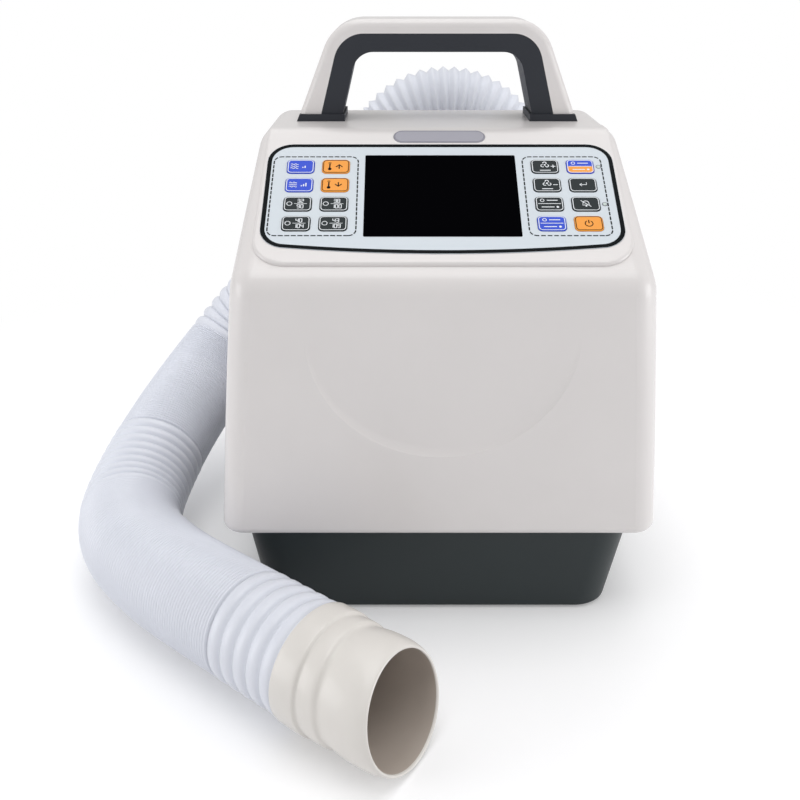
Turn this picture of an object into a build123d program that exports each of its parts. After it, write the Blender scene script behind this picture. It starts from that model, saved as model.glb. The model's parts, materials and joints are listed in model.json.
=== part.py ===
from build123d import *
import math
import os

# Forced air warming unit with its air hose, in millimetres. Seen from the front, +X is to the right,
# +Y is to the rear and Z = 0 is the table. The origin is under the middle of the unit without its hose.

# Which way a solid grows from its place
rising = (Align.CENTER, Align.CENTER, Align.MIN)
hanging = (Align.CENTER, Align.CENTER, Align.MAX)
rearward = (Align.CENTER, Align.MIN, Align.CENTER)
forward = (Align.CENTER, Align.MAX, Align.CENTER)

# Upper shell
lip_width = 309.0
crease_width = 271.0
deck_width = 253.0
body_depth = 232.0
lip_z = 75.5
crease_z = 262.0
slope_angle = 30.6
slope_length = 145.7
wall = 4.0
side_round = 16.0
lip_round = 6.0
crease_round = 20.0
ridge_round = 24.0
rear_round = 20.0
rear_cover_depth = 18.0
boss_reach = 24.0
boss_radius = 5.5
floor_opening_margin = 30.0

# Shallow dish in the front face, deep at its lower rim and fading out at a height
dish_radius = 98.0
dish_height = 233.0
dish_fade = 225.0
dish_depth = 2.4
dish_rim_round = 10.0

# Raised pad on the slope, its corner radius and its outline, measured along the slope from the crease
pad_rise = 2.5
pad_start = 13.6
pad_end = 158.0
pad_low_width = 246.0
pad_high_width = 240.0
pad_round = 22.0
pad_edge_round = 2.2
pad_root = 10.0

# Control panel plate and its windows
panel_thickness = 1.6
panel_proud = 0.4
panel_width = 236.0
panel_start = 28.8
panel_end = 124.8
panel_bow = 7.0
panel_round = 17.0
display_width = 101.6
display_height = 76.2
display_middle = 75.0
fit_gap = 0.15

# Keys in two blocks of four rows and two columns
key_rows = 4
key_pitch = 17.95
key_width = 18.5
key_height = 13.4
key_round = 3.0
key_proud = 0.5
key_edge_round = 0.4
key_gap = 0.3
key_flange = 1.0
key_flange_thickness = 1.0
key_columns = (-95.0, -71.0, 71.0, 95.0)
key_travel = 0.6
key_stem = 5.0
stem_length = 2.2
travel_gap = 0.05

# Lamps of the control face
lamp_length = 64.0
lamp_width = 12.6
lamp_middle = 133.2
lamp_thickness = 2.1
led_radius = 1.2
led_x = 107.5

# Boards and display behind the slope
board_drop = 6.0
board_thickness = 1.6
board_width = 224.0
board_height = 84.0
switch_size = 6.0
board_boss_radius = 4.0

# Base tray
base_top_width = 281.0
base_top_margin = 8.0
base_bottom_width = 260.0
base_front_setback = 17.0
base_rear_setback = 14.0
base_round = 26.0
base_wall = 3.0
base_lift = 2.0
foot_radius = 10.0
foot_inset = 26.0
filter_width = 126.0
filter_length = 96.0
filter_thickness = 12.0
filter_ledge = 4.0
grille_slots = 9
grille_slot = 5.0

# Carrying handle
handle_depth = 40.0
handle_setback = 35.0
handle_height = 70.0
handle_foot_half = 103.6
handle_flat_half = 74.3
handle_round = 31.0
lining_foot_half = 87.0
lining_flat_half = 70.5
lining_top_drop = 9.6
lining_round = 22.0
gap_foot_half = 71.2
gap_flat_half = 58.8
gap_top_drop = 22.0
gap_round = 15.4
flange_thickness = 5.0

# Blower
blower_x = -12.5
blower_from_front = 108.0
wheel_radius = 60.0
wheel_height = 38.0
wheel_blades = 24
shaft_radius = 4.0
running_gap = 0.05
scroll_gap = 6.0
scroll_growth = 36.0
scroll_arcs = 6
blower_lift = 22.5
scroll_wall = 2.5
scroll_height = 54.0
scroll_outlet_width = 44.0
scroll_outlet_length = 70.0
inlet_radius = 44.0
motor_radius = 34.0
motor_height = 40.0

# Outlet at the rear
outlet_radius = 34.0
outlet_wall = 3.0
outlet_flange_radius = 43.0
outlet_flange = 4.0
duct_gap = 5.0
elbow_reach = 50.0
elbow_bend = 40.0
elbow_rise = 20.0
cuff_length = 36.0
cuff_overlap = 17.0

# Rear fittings
louvre_count = 9
louvre_length = 90.0
louvre_pitch = 8.0
louvre_height = 3.5
inlet_width = 27.0
inlet_height = 20.0
socket_screw = 19.5
socket_x = -105.0
rocker_x = -58.0
mains_z = 116.0
rocker_width = 12.0
rocker_height = 22.0
rocker_tilt = 9.0
screw_radius = 1.6
screw_head = 3.2

# Hose: outer radius, bore, facets, and the stretches of its pleats as share of length, count and depth
hose_radius = 39.5
hose_bore = 34.0
hose_sides = 14
hose_stretches = ((0.30, 26, 2.6), (0.30, 18, 1.0), (0.13, 9, 2.4), (0.17, 9, 0.8), (0.10, 6, 2.0))

# Nozzle: steps as length along the axis and outer radius, turn and drop of the axis, lean of the mouth
nozzle_wall = 2.2
nozzle_steps = (
    (0.0, 40.8),
    (19.0, 41.0),
    (19.6, 39.6),
    (34.0, 39.9),
    (34.6, 38.9),
    (54.0, 40.2),
    (63.0, 39.9),
    (70.0, 38.4),
)
nozzle_turn = 6.5
nozzle_drop = 1.6
mouth_lean = 14.0

slope = math.radians(slope_angle)
slope_run = slope_length * math.cos(slope)
deck_z = crease_z + slope_length * math.sin(slope)
total_depth = body_depth + elbow_reach + outlet_radius
front_y = -total_depth / 2
rear_y = front_y + body_depth
split_y = rear_y - rear_cover_depth
blower_y = front_y + blower_from_front
outlet_x = blower_x + wheel_radius + scroll_gap + scroll_growth - scroll_outlet_width / 2
scroll_z = lip_z + wall + blower_lift
outlet_z = scroll_z + scroll_height / 2
hose_y = rear_y + elbow_reach
cuff_top = outlet_z + elbow_bend + elbow_rise - cuff_overlap + cuff_length
panel_n = pad_rise + panel_proud - panel_thickness
face = Plane(origin=(0, front_y, crease_z), x_dir=(1, 0, 0), z_dir=(0, -math.sin(slope), math.cos(slope)))

# Route of the hose's middle line, from the cuff's top over the arch behind the unit to the nozzle
hose_route = (
    (outlet_x, hose_y, cuff_top),
    (outlet_x, hose_y, 289.0),
    (35.0, 125.0, 323.0),
    (-11.0, 125.0, 323.0),
    (-70.0, 124.0, 253.0),
    (-131.0, 124.0, 176.0),
    (-191.0, 119.0, 110.0),
    (-229.0, 34.0, 70.0),
    (-246.0, -46.0, 44.0),
    (-238.0, -105.0, 41.0),
    (-201.0, -151.0, 40.5),
    (-158.0, -189.0, 41.4),
    (-81.5, -250.5, 41.8),
)


def on_face(shape, x, s, n=0.0):
    """Places a shape on the slope: x across, s up from the crease, n out of the plane."""
    return face * Pos(x, s, n) * shape


def prism(sketch, low, high):
    """A sketch of the slope's plane as a prism between two heights over that plane."""
    return face * Pos(0, 0, low) * extrude(sketch, high - low)


def side_outline(inset):
    """The unit from the side, in Y and Z, drawn in by inset, with its three rounded ridges."""
    points = (
        (front_y, lip_z),
        (front_y, crease_z),
        (front_y + slope_run, deck_z),
        (rear_y, deck_z),
        (rear_y, lip_z),
    )
    outline = make_face(Polyline(*points, close=True))
    if inset:
        outline = offset(outline, -inset, kind=Kind.INTERSECTION)
    crease = sorted(outline.vertices(), key=lambda v: (v.X, -v.Y))[0]
    top = sorted(outline.vertices(), key=lambda v: -v.Y)[:2]
    ridge, rear = sorted(top, key=lambda v: v.X)
    outline = fillet(crease, crease_round - inset)
    outline = fillet(outline.vertices().sort_by_distance((ridge.X, ridge.Y, 0))[0], ridge_round - inset)
    return fillet(outline.vertices().sort_by_distance((rear.X, rear.Y, 0))[0], rear_round - inset)


def front_outline(inset):
    """The unit from the front, in X and Z, drawn in by inset, with its bowed sides."""
    low, middle, high = (lip_width / 2, lip_z), (crease_width / 2, crease_z), (deck_width / 2, deck_z)
    right = ThreePointArc(low, middle, high)
    left = mirror(right, about=Plane.YZ)
    ends = Line(high, (-high[0], high[1])) + Line((-low[0], low[1]), low)
    outline = make_face(right + left + ends)
    return offset(outline, -inset, kind=Kind.INTERSECTION) if inset else outline


def body_solid(inset):
    """The unit's moulded outer form, drawn in by inset, with its side edges and its lip rounded."""
    side = Plane.YZ * side_outline(inset)
    front = Plane.XZ * front_outline(inset)
    half = extrude(side, lip_width) & extrude(front, total_depth, both=True)
    rim = side.wire()
    chain = [e for e in half.edges() if on_side_rim(e, rim, lip_z + inset)]
    half = fillet(chain, side_round - inset)
    body = half + mirror(half, about=Plane.YZ)
    return fillet(body.edges().group_by(Axis.Z)[0], lip_round - inset)


def on_side_rim(edge, rim, low):
    """True for an edge that follows the side outline along the unit's flank, above its lower face."""
    middle = edge.center()
    flat = Vertex(0, middle.Y, middle.Z)
    return middle.X > deck_width / 4 and middle.Z > low + 0.5 and rim.distance_to(flat) < 0.5


def pad_sketch():
    """Outline of the raised pad on the slope."""
    points = (
        (-pad_low_width / 2, pad_start),
        (pad_low_width / 2, pad_start),
        (pad_high_width / 2, pad_end),
        (-pad_high_width / 2, pad_end),
    )
    outline = make_face(Polyline(*points, close=True))
    return fillet(outline.vertices().sort_by(Axis.Y)[:2], pad_round)


def panel_sketch(grow=0.0):
    """Outline of the control panel plate: rounded corners and a bowed lower edge."""
    half = panel_width / 2
    low = Vector(-half, panel_start)
    outline = Line(low, (-half, panel_end)) + Line((-half, panel_end), (half, panel_end))
    outline += Line((half, panel_end), (half, panel_start))
    outline += ThreePointArc((half, panel_start), (0, panel_start - panel_bow), low)
    plate = fillet(make_face(outline).vertices(), panel_round)
    return offset(plate, grow) if grow else plate


def slot_at(x, s, length, width):
    """A round-ended slot across the slope."""
    return Pos(x, s) * SlotOverall(length, width)


def key_centres():
    """Row, column and place of each key on the slope, top row first."""
    top = display_middle + key_pitch * (key_rows - 1) / 2
    for row in range(key_rows):
        for column, x in enumerate(key_columns):
            yield row + 1, column + 1, x, top - row * key_pitch


def key_window(side):
    """The hole in the shell under one block of keys."""
    middle = side * (abs(key_columns[0]) + abs(key_columns[1])) / 2
    span = key_columns[1] - key_columns[0]
    width = span + key_width + 2 * key_flange + 4 * key_gap
    height = (key_rows - 1) * key_pitch + key_height + 2 * key_flange + 4 * key_gap
    return Pos(middle, display_middle) * RectangleRounded(width, height, key_round)


def board_boss_places():
    """Where the control board is screwed to the shell."""
    for x in (-1, 1):
        for s in (-1, 1):
            yield x * (board_width / 2 - 5), display_middle + s * (board_height / 2 - 5)


def cover_screw_places():
    """Where the rear cover is screwed to the shell: x and z."""
    for side in (-1, 1):
        yield side * (lip_width / 2 - wall - 12), lip_z + 22
        yield side * (crease_width / 2 - wall - 8), crease_z - 30
        yield side * (deck_width / 2 - 22), deck_z - wall - 8


def cover_bosses(outer):
    """Screw posts in the shell's corners, joined to the wall beside them."""
    posts = []
    for x, z in cover_screw_places():
        post = Cylinder(boss_radius, 16, align=rising) - Cylinder(screw_radius, 12, align=rising)
        web = Pos(x + math.copysign(boss_reach, x) / 2, split_y - 8, z) * Box(boss_reach, 16, 4)
        web -= Pos(x, split_y, z) * Rot(90, 0, 0) * Cylinder(boss_radius, 40)
        posts.append((Pos(x, split_y, z) * Rot(90, 0, 0) * post + web) & outer)
    return posts


def floor_opening():
    """The opening in the shell's floor that leads down to the base tray."""
    length = body_depth - 2 * floor_opening_margin
    sketch = RectangleRounded(base_top_width - 2 * floor_opening_margin + 6, length, 12)
    return Pos(0, (front_y + rear_y) / 2, lip_z - 5) * extrude(sketch, wall + 10)


def front_dish():
    """The shallow dish in the front face: deep at its lower rim and fading out at the top."""
    tilt = math.atan(dish_depth / (dish_fade - dish_height + dish_radius))
    disc = Cylinder(dish_radius, 2 * dish_rim_round, align=rising)
    disc = fillet(disc.edges().group_by(Axis.Z)[0], dish_rim_round)
    middle = Pos(0, front_y + (dish_fade - dish_height) * math.tan(tilt), dish_height)
    return middle * Rot(90 + math.degrees(tilt), 0, 0) * disc


def panel_pockets():
    """All that is cut through the slope for the panel, the display, the keys and the lamp."""
    back = -wall - 2
    cuts = prism(panel_sketch(fit_gap), panel_n, pad_rise + 5)
    window = Pos(0, display_middle) * Rectangle(display_width + 6, display_height + 4)
    cuts += prism(window, back, panel_n + 1)
    cuts += prism(key_window(-1) + key_window(1), back, panel_n + 1)
    lamp_low = pad_rise + panel_proud - lamp_thickness
    lamp_seat = slot_at(0, lamp_middle, lamp_length + 2 * fit_gap, lamp_width + 2 * fit_gap)
    cuts += prism(lamp_seat, lamp_low, pad_rise + 5)
    return cuts


def handle_screw_places():
    """Where the handle's feet are screwed to the deck: x and y."""
    middle = rear_y - handle_setback - handle_depth / 2
    for side in (-1, 1):
        for step in (-1, 1):
            yield side * (gap_foot_half + handle_foot_half) / 2, middle + step * handle_depth / 4


def slope_pad():
    """The raised pad, running up flush into the deck over a rounded ridge."""
    pad = prism(pad_sketch(), -pad_root, pad_rise)
    pad &= Pos(0, 0, deck_z) * Box(2 * lip_width, 2 * total_depth, deck_z, align=hanging)
    ridge = pad.edges().filter_by(Axis.X).sort_by_distance(on_pad(0, pad_ridge()))[0]
    pad = fillet(ridge, ridge_round)
    rim = [e for e in pad.edges() if on_pad_rim(e)]
    return fillet(rim, pad_edge_round)


def pad_ridge():
    """Slope height at which the pad's plane meets the deck."""
    return slope_length - pad_rise / math.tan(slope)


def on_pad(x, s):
    """A point of the pad's upper face."""
    return face.from_local_coords(Vector(x, s, pad_rise))


def on_pad_rim(edge):
    """True for an edge of the pad's upper face, of its ridge or of its strip along the deck, but its end."""
    middle = face.to_local_coords(edge.center())
    high = middle.Z > pad_rise - 0.05 or (middle.Y > pad_ridge() - 12 and edge.center().Z > deck_z - 2.5)
    return high and edge.center().Z < deck_z + 0.01 and not across(edge)


def across(edge):
    """True for an edge that runs straight across the unit behind the pad's ridge."""
    return edge.tangent_at(0.5).cross(Vector(1, 0, 0)).length < 0.01 and edge.center().Z > crease_z + 30


def moulded_shell():
    """The whole upper housing with its pad, before it is parted into shell and rear cover."""
    outer = body_solid(0)
    inner = body_solid(wall)
    housing = (outer + slope_pad()) - inner - floor_opening() - front_dish()
    for x, y in handle_screw_places():
        housing -= Pos(x, y, deck_z) * Cylinder(screw_radius + 0.4, 20)
    return housing, outer


def build_shells():
    """The front shell and the rear cover, parted by one plane across the unit."""
    housing, outer = moulded_shell()
    front_half = Pos(0, split_y, 0) * Box(400, 400, 900, align=forward)
    shell = (housing & front_half) - panel_pockets()
    for boss in cover_bosses(outer):
        shell += boss
    for x, s in board_boss_places():
        post = Cylinder(board_boss_radius, board_drop - wall + 0.5, align=rising)
        hole = Cylinder(1.0, board_drop - wall + 2, align=rising)
        shell += on_face(post, x, s, -board_drop)
        shell -= on_face(hole, x, s, -board_drop)
    cover = housing - front_half
    return shell, cut_rear_cover(cover)


def cut_rear_cover(cover):
    """Cuts the louvres, the outlet hole, the socket and switch openings and the screw holes."""
    for row in range(louvre_count):
        z = crease_z - 6 - row * louvre_pitch
        cover -= Pos(-52, rear_y, z) * Rot(25, 0, 0) * Box(louvre_length, 20, louvre_height)
        cover -= Pos(52, rear_y, z) * Rot(25, 0, 0) * Box(louvre_length, 20, louvre_height)
    cover -= Pos(outlet_x, rear_y, outlet_z) * Rot(90, 0, 0) * Cylinder(outlet_radius + fit_gap, 30)
    cover -= Pos(socket_x, rear_y, mains_z) * Box(inlet_width + 2 * fit_gap, 30, inlet_height + 2 * fit_gap)
    frame_width = rocker_width + 4 + 2 * fit_gap
    cover -= Pos(rocker_x, rear_y, mains_z) * Box(frame_width, 30, rocker_height + 4 + 2 * fit_gap)
    for x, z in cover_screw_places():
        cover -= Pos(x, rear_y, z) * Rot(90, 0, 0) * Cylinder(screw_radius + 0.3, 60)
        post = tube_between(screw_radius + 0.3, boss_radius, split_y, rear_y - wall / 2)
        cover += Pos(x, 0, z) * Rot(90, 0, 0) * post
        cover -= Pos(x, rear_y, z) * Rot(90, 0, 0) * Cylinder(screw_head + 0.4, 5)
    return cover


def tube_between(inner, outer, low_y, high_y):
    """A ring whose axis, once turned, lies along Y between two places."""
    length = high_y - low_y
    ring = Cylinder(outer, length) - Cylinder(inner, length)
    return Pos(0, 0, -(low_y + high_y) / 2) * ring


def build_panel():
    """Control panel plate with its display window, key holes and lamp holes."""
    window = Rectangle(display_width + 2 * fit_gap, display_height + 2 * fit_gap)
    plate = panel_sketch() - Pos(0, display_middle) * window
    hole = RectangleRounded(key_width + 2 * key_gap, key_height + 2 * key_gap, key_round + key_gap)
    for _, _, x, s in key_centres():
        plate -= Pos(x, s) * hole
    for s in led_places():
        plate -= Pos(led_x, s) * Circle(led_radius + fit_gap)
    return prism(plate, panel_n, panel_n + panel_thickness)


def led_places():
    """Slope heights of the two small lamps, beside the first and the third row."""
    top = display_middle + key_pitch * (key_rows - 1) / 2
    return top, top - 2 * key_pitch


def build_key(x, s):
    """One key: cap, flange under the panel and stem."""
    cap_low = panel_n - travel_gap
    cap_height = panel_thickness + key_proud + travel_gap
    cap = extrude(RectangleRounded(key_width, key_height, key_round), cap_height)
    cap = fillet(cap.edges().group_by(Axis.Z)[-1], key_edge_round)
    flange = RectangleRounded(key_width + 2 * key_flange, key_height + 2 * key_flange, key_round)
    flange = extrude(flange, -key_flange_thickness)
    stem = Pos(0, 0, -key_flange_thickness) * extrude(Rectangle(key_stem, key_stem), -stem_length)
    return on_face(cap + flange + stem, x, s, cap_low)


def switch_top():
    """Height over the slope's plane at which a pressed key stops."""
    return panel_n - travel_gap - key_flange_thickness - stem_length - key_travel - travel_gap


def build_key_switches():
    """One small push switch under each key, on the board."""
    height = switch_top() + board_drop
    bodies = []
    for _, _, x, s in key_centres():
        body = extrude(Rectangle(switch_size, switch_size), height - 1)
        plunger = Pos(0, 0, height - 1) * extrude(Circle(1.6), 1)
        bodies.append(on_face(body + plunger, x, s, -board_drop))
    return Compound(children=bodies)


def build_board():
    """Control board with a few packages on its rear side."""
    plate = extrude(Rectangle(board_width, board_height), -board_thickness)
    for x, s in board_boss_places():
        plate -= Pos(x, s - display_middle) * Cylinder(1.3, 10)
    for x, w, h in ((-60, 18, 18), (-20, 12, 26), (35, 22, 14), (80, 10, 10)):
        plate += Pos(x, 6, -board_thickness) * Box(w, h, 2, align=hanging)
    return on_face(plate, 0, display_middle, -board_drop)


def build_board_screws():
    """Screws of the control board."""
    screws = []
    length = board_drop - wall + board_thickness + 0.5
    for x, s in board_boss_places():
        shank = Cylinder(0.95, length, align=rising)
        head = Cylinder(2.4, 1.6, align=hanging)
        screws.append(on_face(shank + head, x, s, -board_drop - board_thickness))
    return Compound(children=screws)


def build_display():
    """Display module between the board and the lens."""
    height = board_drop + panel_n
    module = extrude(Rectangle(display_width + 4, display_height + 3), height - 1.2)
    glass = Pos(0, 0, height - 1.2) * extrude(Rectangle(display_width, display_height), 1.2)
    return on_face(module + glass, 0, display_middle, -board_drop)


def build_display_lens():
    """Clear lens that closes the panel's window."""
    window = Pos(0, display_middle) * Rectangle(display_width, display_height)
    return prism(window, panel_n, panel_n + panel_thickness)


def build_lamp():
    """Lozenge-shaped lens of the alarm lamp over the panel."""
    top = pad_rise + panel_proud
    lens = prism(slot_at(0, lamp_middle, lamp_length, lamp_width), top - lamp_thickness, top)
    rim = lens.edges().filter_by(lambda e: abs(face.to_local_coords(e.center()).Z - top) < 0.01)
    return fillet(rim, 0.6)


def build_leds():
    """Two small round lamps in the panel."""
    led = extrude(Circle(led_radius), panel_thickness + 0.2)
    return Compound(children=[on_face(led, led_x, s, panel_n) for s in led_places()])


def base_section(width, front, rear, corner, z):
    """A rounded rectangle of the base tray at height z."""
    return Pos(0, (front + rear) / 2, z) * RectangleRounded(width, rear - front, corner)


def base_form(inset, low, high):
    """Tapered form of the base tray between two heights, drawn in by inset."""
    share = (low - base_lift) / (lip_z - base_lift)
    width = base_bottom_width + (base_top_width - base_bottom_width) * share - 2 * inset
    front = front_y + base_front_setback + (base_top_margin - base_front_setback) * share + inset
    rear = rear_y - base_rear_setback + (base_rear_setback - base_top_margin) * share - inset
    bottom = base_section(width, front, rear, base_round - inset, low)
    top = base_section(
        base_top_width - 2 * inset, front_y + base_top_margin + inset, rear_y - base_top_margin - inset,
        base_round - inset, high,
    )
    return loft([bottom, top], ruled=True)


def post_places():
    """Posts that carry the blower over the base tray."""
    for x in (-1, 1):
        for y in (-1, 1):
            yield blower_x + x * 76, blower_y + y * 58


def foot_places():
    """Middles of the rubber feet."""
    for x in (-1, 1):
        yield x * (base_bottom_width / 2 - foot_inset), front_y + base_front_setback + foot_inset
        yield x * (base_bottom_width / 2 - foot_inset), rear_y - base_rear_setback - foot_inset


def build_base():
    """Base tray: tapered walls, posts for the blower and the filter's opening."""
    tray = base_form(0, base_lift, lip_z)
    tray = fillet(tray.edges().group_by(Axis.Z)[0], 2.5)
    tray -= base_form(base_wall, base_lift + base_wall, lip_z)
    for x, y in post_places():
        tray += Pos(x, y, base_lift + base_wall / 2) * Cylinder(
            6, scroll_z - base_lift - base_wall / 2, align=rising
        )
    middle = Pos(blower_x, blower_y)
    opening = Rectangle(filter_width - 2 * filter_ledge, filter_length - 2 * filter_ledge)
    tray -= middle * extrude(opening, 20)
    recess = Rectangle(filter_width + 2 * fit_gap, filter_length + 2 * fit_gap)
    tray -= middle * extrude(recess, base_lift + base_wall / 2)
    for x, y in foot_places():
        tray -= Pos(x, y, 0) * Cylinder(3 + fit_gap, 20)
    return tray


def build_filter_cover():
    """Slotted cover under the filter."""
    plate = Rectangle(filter_width, filter_length)
    pitch = (filter_length - 16) / grille_slots
    for i in range(grille_slots):
        plate -= Pos(0, (i - (grille_slots - 1) / 2) * pitch) * SlotOverall(filter_width - 24, grille_slot)
    return Pos(blower_x, blower_y, base_lift) * extrude(plate, base_wall / 2)


def build_filter():
    """Air filter: a pleated pad in its frame."""
    z = base_lift + base_wall
    pad = extrude(Rectangle(filter_width, filter_length), filter_thickness)
    pitch = (filter_width - 16) / 10
    for i in range(10):
        groove = Pos((i - 4.5) * pitch, 0, filter_thickness) * Rot(0, 45, 0) * Box(6, filter_length - 12, 6)
        pad -= groove
    return Pos(blower_x, blower_y, z) * pad


def build_feet():
    """Rubber feet with pegs through the tray's floor."""
    feet = []
    for x, y in foot_places():
        pad = Cylinder(foot_radius, base_lift, align=rising)
        pad = chamfer(pad.edges().group_by(Axis.Z)[0], 1)
        peg = Pos(0, 0, base_lift) * Cylinder(3, base_wall + 0.5, align=rising)
        feet.append(Pos(x, y, 0) * (pad + peg))
    return Compound(children=feet)


def arch_sketch(foot_half, flat_half, top, corner, foot):
    """A closed arch outline in X and Z: leaning legs and a flat top with rounded shoulders."""
    points = ((-foot_half, foot), (-flat_half, top), (flat_half, top), (foot_half, foot))
    outline = make_face(Polyline(*points, close=True))
    return fillet(outline.vertices().group_by(Axis.Y)[-1], corner)


def handle_slab(sketch, depth, rise=0.0):
    """Extrudes an arch across the handle's depth, centred between its faces."""
    y = rear_y - handle_setback - handle_depth / 2
    return Pos(0, y, rise) * extrude(Plane.XZ * sketch, depth / 2, both=True)


def build_handle():
    """Pale outer cover and dark lining of the carrying handle."""
    top = deck_z + handle_height
    outer = arch_sketch(handle_foot_half, handle_flat_half, top, handle_round, deck_z)
    middle = arch_sketch(lining_foot_half, lining_flat_half, top - lining_top_drop, lining_round, deck_z)
    gap = arch_sketch(gap_foot_half, gap_flat_half, top - gap_top_drop, gap_round, deck_z - 1)
    cover = handle_slab(outer, handle_depth) - handle_slab(middle, handle_depth + 2)
    foot_zone = Pos(0, 0, deck_z) * Box(400, 400, 2 * flange_thickness)
    cover = cover - foot_zone
    rim = [e for e in cover.edges() if outer_edge(e, outer)]
    cover = fillet(rim, 5.0)
    grip = handle_slab(middle, handle_depth) - handle_slab(gap, handle_depth + 2)
    flange = handle_slab(outer, handle_depth + 4) & (Pos(0, 0, deck_z) * Box(400, 400, 2 * flange_thickness))
    flange -= Box(2 * gap_foot_half - 6, 400, 4 * deck_z)
    grip += flange & (Pos(0, 0, deck_z) * Box(400, 400, 400, align=rising))
    for x, y in handle_screw_places():
        hole = Pos(x, y, deck_z - 1) * Cylinder(screw_radius, 14, align=rising)
        grip -= hole
        cover -= hole
    return cover, grip


def outer_edge(edge, outline):
    """True for an edge that runs along the arch's outer rim on the handle's front or rear face."""
    middle = edge.center()
    y = rear_y - handle_setback - handle_depth / 2
    if abs(abs(middle.Y - y) - handle_depth / 2) > 0.01:
        return False
    rim = [e for e in outline.edges() if e.center().Y > deck_z + 1]
    return min(e.distance_to(Vertex(middle.X, middle.Z, 0)) for e in rim) < 0.05


def build_handle_screws():
    """Screws from inside the deck into the handle's feet."""
    screws = []
    for x, y in handle_screw_places():
        shank = Cylinder(screw_radius - 0.05, wall + 12, align=rising)
        head = Cylinder(screw_head, 2.4, align=hanging)
        screws.append(Pos(x, y, deck_z - wall) * (shank + head))
    return Compound(children=screws)


def scroll_sketch():
    """Inside outline of the blower's scroll, from above, with its outlet towards the rear."""
    start = wheel_radius + scroll_gap
    end = start + scroll_growth
    ring = []
    for i in range(2 * scroll_arcs + 1):
        angle = math.pi * i / scroll_arcs
        reach = start + scroll_growth * i / (2 * scroll_arcs)
        ring.append((reach * math.cos(angle), reach * math.sin(angle)))
    arcs = [ThreePointArc(*ring[i : i + 3]) for i in range(0, 2 * scroll_arcs, 2)]
    room = make_face(Curve() + arcs + Line(ring[-1], ring[0]))
    channel = Pos(end - scroll_outlet_width / 2, scroll_outlet_length / 2) * Rectangle(
        scroll_outlet_width, scroll_outlet_length
    )
    return room + channel


def build_scroll():
    """Lower and upper half of the blower's scroll."""
    room = scroll_sketch()
    outside = offset(room, scroll_wall, kind=Kind.ARC)
    outside -= Pos(0, scroll_outlet_length + 50) * Rectangle(400, 100)
    middle = scroll_height / 2
    lower = extrude(outside, middle) - Pos(0, 0, scroll_wall) * extrude(room, middle)
    lower -= Cylinder(inlet_radius, 4 * scroll_wall)
    upper = Pos(0, 0, middle) * extrude(outside, middle)
    upper -= Pos(0, 0, middle) * extrude(room, middle - scroll_wall)
    upper -= Pos(0, 0, scroll_height) * Cylinder(shaft_radius + 2, 4 * scroll_wall)
    place = Pos(blower_x, blower_y, scroll_z)
    return place * lower, place * upper


def blade_sketch():
    """One forward-curved blade of the fan wheel, from above."""
    outer = wheel_radius - 0.5
    inner = wheel_radius - 13
    bulge = ThreePointArc((inner, 0), (wheel_radius - 6, 2.4), (outer, 8))
    back = ThreePointArc((outer, 9.2), (wheel_radius - 6.6, 3.6), (inner, 1.2))
    return make_face(bulge + Line(bulge @ 1, back @ 0) + back + Line(back @ 1, bulge @ 0))


def build_wheel():
    """Fan wheel with its hub, back plate, blades and lower ring, and its shaft."""
    hub = Cylinder(12, 16, align=hanging)
    plate = Cylinder(wheel_radius, 2, align=hanging)
    wheel = plate + hub - Cylinder(shaft_radius + running_gap, 60)
    blade = extrude(blade_sketch(), -(wheel_height - 2))
    blades = [Rot(0, 0, 360 * i / wheel_blades) * Pos(0, 0, -1) * blade for i in range(wheel_blades)]
    ring = Cylinder(wheel_radius, 2) - Cylinder(wheel_radius - 13, 2)
    wheel = wheel + blades + Pos(0, 0, -wheel_height) * ring
    top = scroll_z + scroll_height - scroll_wall - 4
    shaft = Cylinder(shaft_radius, motor_height + 14, align=rising)
    place = Pos(blower_x, blower_y, top)
    return place * wheel, place * Pos(0, 0, -14) * shaft


def build_motor():
    """Fan motor on top of the scroll, bored for the shaft."""
    body = Cylinder(motor_radius, motor_height, align=rising)
    body = fillet(body.edges().group_by(Axis.Z)[-1], 4)
    body -= Cylinder(shaft_radius + running_gap, 3 * motor_height)
    return Pos(blower_x, blower_y, scroll_z + scroll_height) * body


def duct_length():
    """Length of the heater duct between the scroll's outlet and the rear cover."""
    return rear_y - wall - duct_gap - (blower_y + scroll_outlet_length)


def build_heater():
    """Heater duct, its element with fins, and the thermostat on top."""
    length = duct_length()
    width = scroll_outlet_width + 2 * scroll_wall
    box = Box(width, length, scroll_height, align=(Align.CENTER, Align.MIN, Align.MIN))
    room = Pos(0, -1, scroll_wall) * Box(
        scroll_outlet_width, length - scroll_wall + 1, scroll_height - 2 * scroll_wall,
        align=(Align.CENTER, Align.MIN, Align.MIN),
    )
    hole = Cylinder(scroll_height / 2 - scroll_wall - 1, 20)
    hole = Pos(0, length, scroll_height / 2) * Rot(90, 0, 0) * hole
    place = Pos(outlet_x, blower_y + scroll_outlet_length, scroll_z)
    duct = place * (box - room - hole)
    core = Box(scroll_outlet_width - 0.4, 4, 4)
    rows = [Pos(0, 0, 12 * (i - 1)) * core for i in range(3)]
    fins = [Pos(x * 5.0, 0, 0) * Box(0.8, 14, 40) for x in range(-4, 5)]
    middle = blower_y + scroll_outlet_length + length / 2
    element = Pos(outlet_x, middle, outlet_z) * (Part() + rows + fins)
    sensor = Cylinder(8, 6, align=rising)
    sensor += Pos(0, 0, 6) * Cylinder(5, 4, align=rising)
    thermostat = Pos(outlet_x, middle, scroll_z + scroll_height) * sensor
    return duct, element, thermostat


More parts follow.
